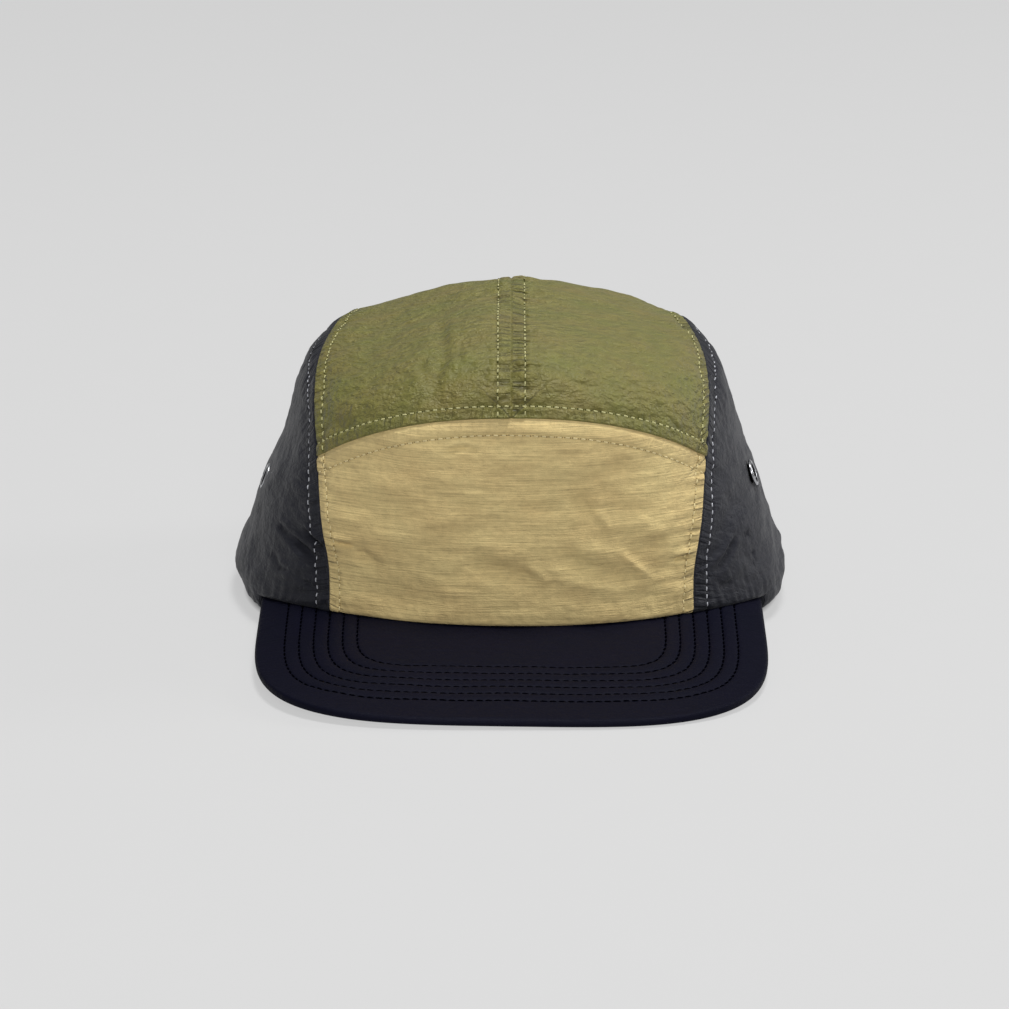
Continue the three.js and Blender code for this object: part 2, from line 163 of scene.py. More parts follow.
SIDE_FOLDS = [
    (-79.5, 45.5, -68.5, 36, 0.6, 1.3, 1.6),
    (-83.5, 50, -78.5, 46, 0.3, 1.3, 0.8),
    (-75, 48.6, -64.5, 39, 0.4, 1.1, 1.7),
    (-67, 43, -63.5, 42.2, 0.1, 0.7, 0.9),
    (-74, 28, -70.5, 27.3, 0.1, 0.8, 0.7),
    (-83, 34, -78.5, 32.7, 0.3, 1, 0.5),
    (-85, 40, -81, 31, 0.5, 1.6, 0.5),
    (80, 46, 71.5, 31.2, -1.2, 1.4, 1.25),
    (80.5, 50, 70, 34, -1.2, 1, -0.5),
    (65.5, 34.6, 69.5, 35.3, 0.1, 0.8, 0.9),
    (65.5, 30.8, 69.5, 32.3, 0.1, 0.8, 0.8),
    (66, 38.6, 70.3, 41.3, 0.1, 0.8, 0.6),
    (84, 57, 83.4, 52.5, 0.1, 0.7, 0.6),
    (82.4, 55.5, 82.3, 49, 0.1, 0.7, 0.6),
    (73, 26, 79, 28.5, 0.3, 1.1, 0.6),
    (83.3, 47, 84.8, 45, 0.2, 1.2, 0.7),
    (86, 39.8, 87, 38, 0.2, 1.3, 0.7),
]

FOLD_TAPER = 0.3
LIP_ABOVE = 0.55
LIP_BELOW = 0.3

# Cloth: its thickness, that of a seam allowance behind it, and how panels meet
CLOTH = 1.0
ALLOWANCE = 0.6
SEAM_GAP = -0.08

# Cloth beside a seam: depth and width of the rolled edge, rise of the allowance, and
# how far before and past the stitches that rise ends
SEAM_EDGES = {
    "butt": (0.6, 0.9, 0.32, 0.6, 1.0),
    "under": (0.7, 1.8, 0.3, 0.6, 1.0),
    "over": (0.45, 0.6, 0.5, 1.0, 1.2),
}
GROOVE = 0.38
GROOVE_WIDE = 0.6
GATHER_LENGTHS = (3.4, 8)
GATHER_FADE = 6.5
PUCKER = 2.8
PUCKER_FADE = 5
PUCKER_BACK = 0.65
HEM_GATHER = 0.16
HEM_GATHER_LENGTHS = (3, 7)
HEM_ROLL = 0.8
HEM_ROLL_WIDE = 1.6
HEM_FOLDED = (7.5, 8.7)

# Eyelets: side, y and z of the middle
EYELETS = {"left": (-1, -12.5, 45), "right": (1, -20.1, 48.8)}
EYELET_HOLE = 3.6
PUNCH_LONG = 12

SHARP = math.radians(40)
SOLVE_STEPS = 34
NORMAL_STEP = 0.02
FINE_STEP = 0.42


def place(points):
    """Millimetres about the crown's middle into metres in the frame."""
    return (np.asarray(points, float) + (0, CROWN_Y, 0)) * MM


def unit(vectors):
    return vectors / np.linalg.norm(vectors, axis=-1, keepdims=True)


def steps(grid, axis):
    """Distances between neighbouring points of a line or grid."""
    return np.linalg.norm(np.diff(grid, axis=axis), axis=-1)


def run_along(line):
    """How far along a line each of its points is."""
    return np.concatenate([[0], np.cumsum(steps(line, 0))])


def values_at(places, run, values):
    """Rows of values, given along a run, read at other places along it."""
    return np.stack([np.interp(places, run, column) for column in values.T], -1)


def add_object(name, data):
    obj = bpy.data.objects.new(name, data)
    bpy.context.scene.collection.objects.link(obj)
    return obj


def read_table(rows, column, at):
    """A smooth curve through one column of a table, straight beyond its ends."""
    keys, values = rows[:, 0], rows[:, column]
    slopes = np.gradient(values, keys)
    at = np.asarray(at, float)
    i = np.clip(np.searchsorted(keys, at) - 1, 0, len(keys) - 2)
    span = keys[i + 1] - keys[i]
    t = np.clip((at - keys[i]) / span, 0, 1)
    keep = 2 * t ** 3 - 3 * t ** 2 + 1
    start, end = t ** 3 - 2 * t ** 2 + t, t ** 3 - t ** 2
    inside = keep * values[i] + (1 - keep) * values[i + 1]
    inside += start * span * slopes[i] + end * span * slopes[i + 1]
    low = values[0] + slopes[0] * (at - keys[0])
    high = values[-1] + slopes[-1] * (at - keys[-1])
    return np.where(at < keys[0], low, np.where(at > keys[-1], high, inside))


def crown_level(x, y, z):
    """1 on the crown's surface, less inside."""
    half, front, back, power = (read_table(SECTIONS, column, z) for column in range(1, 5))
    reach = np.where(y < 0, front, back)
    outline = (np.abs(x) / half) ** power + (np.abs(y) / reach) ** power
    drop = np.where(y < ROOF_RIDGE_Y, ROOF_DROP_FRONT, ROOF_DROP_BACK)
    roof = ROOF_HEIGHT - ROOF_SLOPE * (np.hypot(x, ROOF_ROUND) - ROOF_ROUND)
    roof = np.maximum(roof - drop * (y - ROOF_RIDGE_Y) ** 2, CENTRE_Z + ROOF_LEAST)
    rise = np.clip((z - CENTRE_Z) / (roof - CENTRE_Z), 0, None)
    return (outline ** (SHOULDER / power) + rise ** SHOULDER) ** (1 / SHOULDER)


def solve(inside, shape, low, high):
    """Where a condition that holds at low and fails at high changes, by halving."""
    low, high = np.full(shape, float(low)), np.full(shape, float(high))
    for _ in range(SOLVE_STEPS):
        middle = (low + high) / 2
        holds = inside(middle)
        low = np.where(holds, middle, low)
        high = np.where(holds, high, middle)
    return (low + high) / 2


def ray_points(directions):
    """Where rays from the crown's centre leave it."""
    d = unit(directions)
    x, y, z = np.moveaxis(d, -1, 0)
    r = solve(lambda m: crown_level(x * m, y * m, CENTRE_Z + z * m) < 1, x.shape, 20, 180)
    return d * r[..., None] + (0, 0, CENTRE_Z)


def pitch_points(pitch, x):
    """Crown points at a pitch in degrees about the crown's cross axis."""
    pitch, x = np.broadcast_arrays(np.radians(pitch), np.asarray(x, float))
    y, z = -np.cos(pitch), np.sin(pitch)
    r = solve(lambda m: crown_level(x, y * m, CENTRE_Z + z * m) < 1, x.shape, 5, 180)
    return np.stack([x, y * r, CENTRE_Z + z * r], -1)


def crown_normals(points):
    def level(step):
        return crown_level(*np.moveaxis(points + step, -1, 0))
    return unit(np.stack([level(step) - level(-step) for step in np.eye(3) * NORMAL_STEP], -1))


def peak_top(x, y):
    reach = y - PEAK_FRONT - PEAK_CHAMFER
    back = reach / (PEAK_REAR - PEAK_FRONT)
    curve = PEAK_ARCH * back * (np.abs(x) / PEAK_HALF) ** 4
    return PEAK_THICK + PEAK_LIFT + PEAK_SLOPE * reach - curve - PEAK_TWIST * (1 - back) * x


def hem_height(x, y):
    """Lower edge of the panels: on the peak in front, level at the sides, arched behind."""
    turn = np.clip(np.abs(x) / ARCH_HALF, 0, 1)
    arch = ARCH_HEIGHT * np.cos(turn * math.pi / 2) ** ARCH_POWER
    t = np.clip((HEM_DIP - y) / (HEM_DIP - PEAK_REAR), 0, 1)
    seat = (peak_top(x, np.minimum(y, PEAK_REAR + HEM_SEATED)) + SEAT) * t * t * (3 - 2 * t)
    behind = smooth(PEAK_REAR + HEM_TAIL_FROM, PEAK_REAR + HEM_TAIL_TO, y)
    seat = np.minimum(seat, HEM_TAIL + (seat - HEM_TAIL) * (1 - behind))
    return np.where(y > 0, arch, seat)


def strip_x(pitch, part, inset):
    """Sideways place in the middle strip: part runs from -1 to 1, from seam to seam."""
    return part * (read_table(SIDE_SEAM, 1, pitch) - inset)


def arc_pitch(part):
    x = part * read_table(SIDE_SEAM, 1, ARC_PITCH)
    return ARC_PITCH - ARC_DROP * (np.abs(x) / ARC_HALF) ** 1.8


def hem_pitch(part, inset, back):
    """Pitch at which the middle strip meets the lower edge, in front or at the back."""
    def over(pitch):
        p = pitch_points(pitch, strip_x(pitch, part, inset))
        return p[..., 2] > hem_height(p[..., 0], p[..., 1])
    if back:
        return solve(over, np.shape(part), 140, 215)
    return -solve(lambda pitch: over(-pitch), np.shape(part), -25, 25)


def sunk(points):
    """Depth of the soft hollows and creases at each point."""
    x, y, z = np.moveaxis(points, -1, 0)
    depth = np.zeros(x.shape)
    for face, cx, cz, lean, long, wide, deep in HOLLOWS:
        c, s = math.cos(math.radians(lean)), math.sin(math.radians(lean))
        along = (x - cx) * c + (z - cz) * s
        across = (z - cz) * c - (x - cx) * s
        here = deep * np.exp(-((along / long) ** 2) - (across / wide) ** 2)
        depth += np.where(y * face >= 0, here, 0)
    return depth


def seen_points(x, height):
    """Where lines of sight of the front view first meet the crown."""
    y = np.linspace(-110, 60, 1701)[None, :]
    x = x[:, None]
    z = height[:, None] - (y - FRONT_Y) * math.tan(math.radians(VIEW_RISE))
    first = (crown_level(x, y, z) < 1).argmax(axis=1)
    return np.stack([x[:, 0], y[0][first], z[np.arange(len(first)), first]], -1)


def folded(points, folds):
    """Depth of the folds at each point: a valley with a lip along its upper side."""
    depth = np.zeros(points.shape[:-1])
    t = np.linspace(0, 1, 9)
    for x0, h0, x1, h1, bend, wide, deep in folds:
        long = math.hypot(x1 - x0, h1 - h0)
        bow = bend * np.sin(math.pi * t)
        x = x0 + (x1 - x0) * t + bow * (h1 - h0) / long
        line = seen_points(x, h0 + (h1 - h0) * t - bow * (x1 - x0) / long)
        reach = 0.6 * np.linalg.norm(line[-1] - line[0]) + 5 * wide
        near = np.linalg.norm(points - line[4], axis=-1) < reach
        if not near.any():
            continue
        here = points[near]
        distance, along = edge_measure(here, line)
        run = run_along(line)
        above = here[:, 2] > np.interp(along, run, line[:, 2])
        share = along / run[-1]
        taper = smooth(0, FOLD_TAPER, share) * (1 - smooth(1 - FOLD_TAPER, 1, share))
        lip = np.where(above, LIP_ABOVE, LIP_BELOW) * bell(distance - 2 * wide, wide)
        depth[near] += deep * taper * (bell(distance, wide) - (lip if deep > 0 else 0))
    return depth


def waves(points, lengths, stretch, seed, count=26):
    """A smooth random field about 1 high: cosines of the given lengths, in millimetres."""
    rng = np.random.default_rng(seed)
    total = np.zeros(points.shape[:-1])
    for _ in range(count):
        way = rng.normal(size=points.shape[-1]) / stretch
        way *= 2 * math.pi / (rng.uniform(*lengths) * np.linalg.norm(way * stretch))
        total += np.cos(points @ way + rng.uniform(0, 2 * math.pi))
    return total / math.sqrt(count / 2)


def graded(length, coarse, reach=9):
    """Places from 0 to 1 along a length, closer together within reach of both ends."""
    at = [0.0]
    while at[-1] < length:
        near = min(max(min(at[-1], length - at[-1]), 0) / reach, 1)
        at.append(at[-1] + FINE_STEP + (coarse - FINE_STEP) * near ** 1.5)
    return np.array(at) / at[-1]


def edge_measure(grid, edge):
    """Distance of each point to an edge line, and how far along the line its foot is."""
    flat = grid.reshape(-1, 3)
    best, along = np.full(len(flat), np.inf), np.zeros(len(flat))
    for a, b, start in zip(edge, edge[1:], run_along(edge)):
        step = b - a
        size = step @ step
        if size < 1e-12:
            continue
        t = np.clip((flat - a) @ step / size, 0, 1)
        gap = np.linalg.norm(flat - a - t[:, None] * step, axis=1)
        nearer = gap < best
        best = np.where(nearer, gap, best)
        along = np.where(nearer, start + t * math.sqrt(size), along)
    return best.reshape(grid.shape[:-1]), along.reshape(grid.shape[:-1])


def thinned(line):
    """Every second point of a line, with its last one kept."""
    return np.concatenate([line[:-1:2], line[-1:]])


def bell(value, width):
    return np.exp(-((value / width) ** 2))


def smooth(low, high, value):
    t = np.clip((value - low) / (high - low), 0, 1)
    return t * t * (3 - 2 * t)


def seam(line, stitch, gather, edge="butt", slant=0.22, way="rows"):
    """A seam: its line, distance of its stitches, strength of its gathers, edge and way."""
    return dict(line=line, stitch=stitch, gather=gather, edge=edge, slant=slant, way=way)


def seam_relief(distance, along, at, seed):
    """Outward lift of the cloth beside a seam: edge, raised allowance, groove and gathers."""
    stitch = at["stitch"]
    roll, wide, rise, before, past = SEAM_EDGES[at["edge"]]
    if at["edge"] == "under":
        lift = -roll * (1 - smooth(0, wide, distance))
    else:
        lift = -roll * np.clip(1 - distance / wide, 0, 1) ** 2
    lift += rise * (1 - smooth(stitch - before, stitch + past, distance))
    lift -= GROOVE * bell(distance - stitch, GROOVE_WIDE)
    line = (along + at["slant"] * distance)[..., None]
    long = waves(line, GATHER_LENGTHS, 1, seed + 20, 14) - 0.8
    fade = np.exp(-np.clip(distance - stitch, 0, None) / GATHER_FADE)
    return lift + 0.8 * at["gather"] * long * fade * smooth(0.2, 1.4, distance)


def puckers(distance, at):
    """How deep the fine puckers beside a seam are, in millimetres."""
    past = np.clip(distance - at["stitch"], 0, None)
    near = smooth(0.1, 0.8, distance) * (0.35 + 0.65 * bell(past, 1.2))
    return PUCKER * at["gather"] * near * np.exp(-past / PUCKER_FADE)


def crinkle(points, amount, seed):
    """Crumpled relief of light cloth, longest down the panels."""
    soft = waves(points, (26, 60), np.array([1.5, 1.5, 1]), seed) * 0.36
    middle = waves(points, (9, 17), np.array([1.7, 1.7, 0.8]), seed + 1) * 0.15
    small = waves(points, (4, 8), np.array([2.0, 2.0, 0.8]), seed + 2, 30) * 0.06
    return amount * (soft + middle + small)


def beside_seams(grid, seams, seed):
    """Relief beside a panel's seams, and each point's place beside the nearest one."""
    shape = grid.shape[:-1]
    lift, calm, allowance, pucker = np.zeros(shape), np.ones(shape), np.zeros(shape), np.zeros(shape)
    beside = np.zeros(shape + (2,))
    nearest = np.full(shape, np.inf)
    lines = []
    for k, at in enumerate(seams):
        stitch = at["stitch"]
        distance, along = edge_measure(grid, thinned(at["line"]))
        lift += seam_relief(distance, along, at, seed + 7 * k)
        nearer = distance < nearest
        nearest = np.where(nearer, distance, nearest)
        pucker = np.where(nearer, puckers(distance, at), pucker)
        here = np.stack([distance, along + at["slant"] * distance + 400 * k + 7 * seed], -1)
        beside = np.where(nearer[..., None], here, beside)
        calm *= smooth(0, 5, distance)
        allowance = np.maximum(allowance, 1 - smooth(stitch + 0.4, stitch + 1.6, distance))
        lines.append((distance - stitch, at["way"]))
    extra = {"beside_x": beside[..., 0], "beside_y": beside[..., 1], "pucker": pucker}
    return lift, calm, allowance, extra, lines


def wall(name, grid, seams, hem, folds, crinkled, seed, uv):
    """Closed cloth wall over a grid of crown points, with relief beside its seams and hem."""
    hem_rows = np.zeros(grid.shape[:2], bool)
    hem_rows[hem] = True
    if len(seams) == 1:  # a side panel, whose first and last columns end on the hem
        hem_rows[:, [0, -1]] = True
    normals = crown_normals(grid)
    base = grid - normals * (sunk(grid) + folded(grid, folds))[..., None]
    lift, calm, allowance, extra, lines = beside_seams(grid, seams, seed)
    distance, along = edge_measure(grid, thinned(grid[hem]))
    lift -= HEM_ROLL * np.clip(1 - distance / HEM_ROLL_WIDE, 0, 1) ** 2
    gathers = waves((along + 0.3 * distance)[..., None], HEM_GATHER_LENGTHS, 1, seed + 60, 14)
    lift += HEM_GATHER * gathers * smooth(0.5, 2, distance) * np.exp(-distance / 7)
    allowance = np.maximum(allowance, 1 - smooth(*HEM_FOLDED, distance))
    calm *= smooth(0, 6, distance)
    lift += crinkle(grid, crinkled, seed + 3) * (0.15 + 0.85 * calm)
    outer = base + normals * lift[..., None]
    inner = base + normals * (np.minimum(lift, 0) - CLOTH - ALLOWANCE * allowance)[..., None]
    inner = np.where(hem_rows[..., None], outer - unit(normals * (1, 1, 0)) * CLOTH, inner)
    for side in (outer, inner):
        side[..., 2] = np.where(hem_rows, hem_height(side[..., 0], side[..., 1]), side[..., 2])
    extra["pucker"] = extra["pucker"] * (1 - PUCKER_BACK * smooth(0, 60, grid[..., 1]))
    obj = sheet_object(name, outer, inner, uv, extra)
    return obj, outer, normals, lines


def sheet_object(name, upper, lower, uv, extra=()):
    """A closed sheet between two grids of points."""
    rows, columns = upper.shape[:2]
    half = rows * columns
    index = np.arange(half).reshape(rows, columns)
    quads = np.stack([index[:-1, :-1], index[:-1, 1:], index[1:, 1:], index[1:, :-1]], -1).reshape(-1, 4)
    rim = np.concatenate([index[0, :-1], index[:-1, -1], index[-1, :0:-1], index[:0:-1, 0]])
    after = np.roll(rim, -1)
    border = np.stack([after, rim, rim + half, after + half], -1)
    faces = np.concatenate([quads, quads[:, ::-1] + half, border])
    points = np.concatenate([upper.reshape(-1, 3), lower.reshape(-1, 3)])
    spread = np.concatenate([uv.reshape(-1, 2)] * 2)
    extra = {key: np.tile(values.ravel(), 2) for key, values in dict(extra).items()}
    return mesh_object(name, place(points), faces.tolist(), spread, extra=extra)


def mesh_object(name, points, faces, uv=None, sharp=SHARP, extra=()):
    mesh = bpy.data.meshes.new(name)
    mesh.from_pydata([tuple(p) for p in points], [], faces)
    if uv is not None:
        layer = mesh.uv_layers.new(name="cloth")
        corners = np.zeros(len(mesh.loops), np.int32)
        mesh.loops.foreach_get("vertex_index", corners)
        layer.data.foreach_set("uv", np.asarray(uv, np.float32)[corners].ravel())
    for key, values in dict(extra).items():
        mesh.attributes.new(key, "FLOAT", "POINT").data.foreach_set("value", values.astype(np.float32))
    body = bmesh.new()
    body.from_mesh(mesh)
    bmesh.ops.remove_doubles(body, verts=body.verts, dist=2e-6)
    bmesh.ops.recalc_face_normals(body, faces=body.faces)
    body.to_mesh(mesh)
    body.free()
    mesh.shade_smooth()
    if sharp:
        mesh.set_sharp_from_angle(angle=sharp)
    return add_object(name, mesh)


def surface_uv(grid):
    """Millimetres along the cloth: across the rows and up the columns."""
    across = np.pad(steps(grid, 1).cumsum(1), ((0, 0), (1, 0)))
    across -= across[:, -1:] / 2
    return np.stack([across, np.pad(steps(grid, 0).cumsum(0), ((1, 0), (0, 0)))], -1)


def strip_grid(parts, rows, from_pitch, to_pitch):
    """Rows of crown points across the middle strip, from one line of pitches to another."""
    pitch = from_pitch + (to_pitch - from_pitch) * rows[:, None]
    return pitch_points(pitch, strip_x(pitch, parts, SEAM_GAP / 2))


ARC_REACH = 105
ARC_GAP = math.degrees(SEAM_GAP / 2 / ARC_REACH)
WORDS = {-1: "left", 1: "right"}

# Panels: size of the cut, how crumpled it is, and how far in its seams are stitched
FRONT_WIDE, FRONT_HIGH, FRONT_CRINKLE = 138, 76, 1.1
TOP_WIDE, TOP_LONG, TOP_CRINKLE = 68, 225, 1.7
SIDE_HIGH, SIDE_CRINKLE = 95, 1.4
FRONT_STITCH, ARC_STITCH_UNDER, ARC_STITCH_OVER = 4.3, 6.0, 4.2
CENTRE_STITCH, TOP_STITCH, SIDE_STITCH = 4.75, 4.6, 6.0
SIDE_FINE = 0.42
SIDE_ROUND = 92


def front_panel():
    parts = 2 * graded(FRONT_WIDE, 0.95) - 1
    rows = graded(FRONT_HIGH, 0.75)
    grid = strip_grid(parts, rows, hem_pitch(parts, SEAM_GAP / 2, False), arc_pitch(parts) - ARC_GAP)
    seams = [
        seam(grid[:, 0], FRONT_STITCH, 0.15, way="columns"),
        seam(grid[:, -1], FRONT_STITCH, 0.22, way="columns"),
        seam(grid[-1], ARC_STITCH_UNDER, 0.035, "under"),
    ]
    uv = surface_uv(grid)
    return wall("front_panel_cloth", grid, seams, 0, KHAKI_FOLDS, FRONT_CRINKLE, 11, uv)


def top_panel(side):
    middle = SEAM_GAP / 2 / read_table(SIDE_SEAM, 1, 90)
    parts = (middle + (1 - middle) * graded(TOP_WIDE, 1.0)) * side
    rows = graded(TOP_LONG, 0.68)
    grid = strip_grid(parts, rows, arc_pitch(parts) + ARC_GAP, hem_pitch(parts, SEAM_GAP / 2, True))
    centre, outer, slant = (0.28, 0.18, 0.1) if side < 0 else (0.42, 0.30, 0.9)
    seams = [
        seam(grid[:, 0], CENTRE_STITCH, centre, slant=0.05, way="columns"),
        seam(grid[:, -1], TOP_STITCH, outer, slant=slant, way="columns"),
        seam(grid[0], ARC_STITCH_OVER, 0.14, "over"),
    ]
    name = "top_panel_" + WORDS[side] + "_cloth"
    return wall(name, grid, seams, -1, OLIVE_FOLDS, TOP_CRINKLE, 40 + side, surface_uv(grid))


def hem_directions(turns):
    """Directions from the crown's centre to its lower edge, at given turns about the upright."""
    def at(rise):
        return np.stack([np.sin(turns), -np.cos(turns), rise], -1)

    def below(rise):
        p = ray_points(at(rise))
        return p[..., 2] < hem_height(p[..., 0], p[..., 1])
    return unit(at(solve(below, turns.shape, -0.7, 0.4)))


def side_panel(side):
    inset = -SEAM_GAP / 2
    part = np.array(float(side))
    low, high = float(hem_pitch(part, inset, False)), float(hem_pitch(part, inset, True))
    pitches = low + (high - low) * np.linspace(0, 1, 300)
    seam_line = pitch_points(pitches, strip_x(pitches, side, inset))
    run = run_along(seam_line)
    at = np.concatenate([np.linspace(0, SIDE_FINE, 190)[:-1], np.linspace(SIDE_FINE, 1, 110)])
    even = np.interp(at * run[-1], run, pitches)
    seam_line = pitch_points(even, strip_x(even, side, inset))
    ends = np.arctan2(seam_line[[0, -1], 0], -seam_line[[0, -1], 1])
    low_way = hem_directions(ends[0] + (ends[1] - ends[0]) * at)
    high_way = unit(seam_line - (0, 0, CENTRE_Z))
    v = graded(SIDE_HIGH, 1.25, reach=24)[:, None, None]
    grid = ray_points(high_way * (1 - v) + low_way * v)
    grid[0] = seam_line
    grid[:, 0], grid[:, -1] = seam_line[0], seam_line[-1]
    x, y, z = np.moveaxis(grid, -1, 0)
    uv = np.stack([np.arctan2(y, np.abs(x)) * SIDE_ROUND, z * 1.02 + np.abs(x) * 0.05], -1)
    seams = [seam(seam_line, SIDE_STITCH, 0.18)]
    name = "side_panel_" + WORDS[side] + "_cloth"
    return wall(name, grid, seams, -1, SIDE_FOLDS, SIDE_CRINKLE, 70 + side, uv)


def crossings(points, normals, value, way):
    """Points and normals where value passes zero along each row or column of a grid."""
    both = np.concatenate([points, normals], -1)
    if way == "columns":
        both, value = np.swapaxes(both, 0, 1), value.T
    found = []
    for j in range(value.shape[1]):
        change = np.where(value[:-1, j] * value[1:, j] < 0)[0]
        if len(change):
            i = change[0] if abs(value[0, j]) < abs(value[-1, j]) else change[-1]
            t = value[i, j] / (value[i, j] - value[i + 1, j])
            found.append(both[i, j] * (1 - t) + both[i + 1, j] * t)
    return np.split(np.array(found), 2, axis=1)


# Stitches: pitch, length, radius and lift of the thread in each kind of cloth
CLOTH_THREAD = (2.75, 1.75, 0.22, 0.10)
PEAK_THREAD = (3.1, 2.75, 0.3, 0.12)
PEAK_THREAD_UNDER = (3.1, 2.5, 0.24, 0.05)
STRAP_THREAD = (2.8, 2.2, 0.24, 0.08)
STITCH_TRIM = 0.6
STITCH_STRAY = 0.04
STITCH_TURN = 0.06
# Dark pieces sunk at both ends of each stitch, painted shade in the needle holes: length, radius, reach
# past the stitch end and depth
HOLE_LONG = 0.62
HOLE_RADIUS = 0.3
HOLE_PAST = 0.12
HOLE_DEEP = 0.20
RING = np.linspace(0, 2 * math.pi, 7)[:-1]

# A stitch from end to end: place along its half length, thickness and dip in radii
STATIONS = [
    (-1, 0.25, -1.3), (-0.8, 0.8, -0.35), (-0.35, 1, 0),
    (0.35, 1, 0), (0.8, 0.8, -0.35), (1, 0.25, -1.3),
]


def thread_run(line, normals, pitch, long, radius, lift, seed):
    """Centres and directions of a row of stitches along a line."""
    run = run_along(line)
    length = run[-1] - 2 * STITCH_TRIM
    count = max(int(length / pitch), 1)
    rng = np.random.default_rng(seed)
    middle = STITCH_TRIM + (np.arange(count) + 0.5) * length / count
    middle += rng.normal(0, STITCH_STRAY, count)
    along = values_at(middle + long / 2, run, line) - values_at(middle - long / 2, run, line)
    along = unit(along)
    up = values_at(middle, run, normals)
    up = unit(up - along * (up * along).sum(1, keepdims=True))
    across = np.cross(along, up)
    turn = rng.normal(STITCH_TURN, STITCH_STRAY, count)[:, None]
    lengths = long * rng.uniform(0.94, 1.06, count)
    centre = values_at(middle, run, line) + up * lift
    return centre, along + across * turn, up, across, lengths, np.full(count, radius)


def hole_shade_runs(runs):
    """Dark pieces at both ends of every stitch: painted shade in the needle holes."""
    found = []
    for centre, along, up, across, length, _ in runs:
        sizes = np.full(len(length), HOLE_LONG), np.full(len(length), HOLE_RADIUS)
        for end in (-1, 1):
            middle = centre + along * (end * (length / 2 + HOLE_PAST))[:, None] - up * HOLE_DEEP
            found.append((middle, along, up, across, *sizes))
    return found


def tube_faces(rings, sides, joined):
    """Quads between rings of points, and from the last ring to the first where they join."""
    return [
        (i * sides + j, i * sides + (j + 1) % sides, k * sides + (j + 1) % sides, k * sides + j)
        for i, k in ((i, (i + 1) % rings) for i in range(rings if joined else rings - 1))
        for j in range(sides)
    ]


def thread_object(name, runs):
    """One mesh of plump stitches whose ends dip into the cloth."""
    centre, along, up, across, length, radius = (np.concatenate(a) for a in zip(*runs))
    rings = []
    for share, size, dip in STATIONS:
        middle = centre + along * (share * length / 2)[:, None] + up * (dip * radius)[:, None]
        for angle in RING:
            side = across * math.cos(angle) * 1.15 + up * math.sin(angle) * 0.85
            rings.append(middle + side * (radius * size)[:, None])
    points = np.stack(rings, 1).reshape(-1, 3)
    sides, stations = len(RING), len(STATIONS)
    each = sides * stations
    starts = np.arange(len(centre)) * each
    faces = (starts[:, None, None] + np.array(tube_faces(stations, sides, False))).reshape(-1, 4).tolist()
    for cap in (np.arange(sides)[::-1], np.arange(each - sides, each)):
        faces += (starts[:, None] + cap).tolist()
    mesh = bpy.data.meshes.new(name)
    mesh.from_pydata([tuple(p) for p in place(points)], [], faces)
    mesh.shade_smooth()
    return add_object(name, mesh)


# Peak

STITCH_FIRST = 10.6
STITCH_STEP = 5.05
STITCH_ROWS = [STITCH_FIRST + STITCH_STEP * k for k in range(6)]
STITCH_FRONT = 3.9
PEAK_COLUMNS = 250
PEAK_INNER, PEAK_DEEPEST = 37.6, 71
PEAK_ROUND = 1.5
PEAK_GROOVE = 0.34
PEAK_QUILT = 0.26
PEAK_LEAST = 0.02

# Rows of the peak's mesh: inset from the rim, and distance from each row of stitches
RIM_INSETS = [0, 0.12, 0.35, 0.7, 1.15, 1.7, 2.6, 4.0, 5.6, 7.2]
STITCH_INSETS = [-1.9, -1.1, -0.6, -0.28, 0, 0.28, 0.6, 1.1]


def inset_outline(inset):
    """Plan outline of the peak moved inward, from its left tail to its right tail."""
    half = PEAK_HALF - inset
    front = PEAK_FRONT + inset + STITCH_FRONT * min(inset / STITCH_FIRST, 1)
    power = PEAK_SQUARENESS + 2.4 * (min(inset, 36) / 36) ** 0.75
    if half > PEAK_ROOT_HALF:
        tail = PEAK_TAIL
    else:
        root = 1 - (half / PEAK_ROOT_HALF) ** PEAK_ROOT_SQUARENESS
        tail = PEAK_TAIL + (PEAK_ROOT_FRONT - PEAK_TAIL) * root ** (1 / PEAK_ROOT_SQUARENESS)
    middle = min(PEAK_MID, tail - 0.5)
    angle = np.linspace(0, math.pi, 401)
    c, s = np.cos(angle), np.sin(angle)
    x = -half * np.sign(c) * np.abs(c) ** (2 / power)
    y = middle + (front - middle) * s ** (2 / power)
    line = np.stack([x, y], -1)
    line = np.concatenate([[(-half, tail)], line, [(half, tail)]])
    run = run_along(line)
    return values_at(np.linspace(0, run[-1], PEAK_COLUMNS), run, line)


def peak_insets():
    insets = RIM_INSETS + [row + step for row in STITCH_ROWS for step in STITCH_INSETS]
    insets += list(np.arange(PEAK_INNER, PEAK_DEEPEST, 1.4)) + [PEAK_DEEPEST]
    return sorted({round(inset, 3) for inset in insets})


def peak_relief(inset, line):
    """Stitch grooves, the padding between them, and the soft ripples of the peak's cloth."""
    relief = np.zeros(inset.shape)
    for row in STITCH_ROWS:
        relief -= PEAK_GROOVE * bell(inset - row, 0.6)
    quilt = (inset > STITCH_ROWS[0]) & (inset < STITCH_ROWS[-1])
    padding = np.sin(math.pi * ((inset - STITCH_FIRST) / STITCH_STEP % 1))
    relief += np.where(quilt, PEAK_QUILT * padding, 0)
    ripple = waves(line, (3.5, 7), np.array([2.2, 0.8]), 91, 24) * 0.035
    ripple += waves(line, (20, 45), 1, 92, 16) * 0.12
    return relief + ripple * smooth(0, 3, inset)


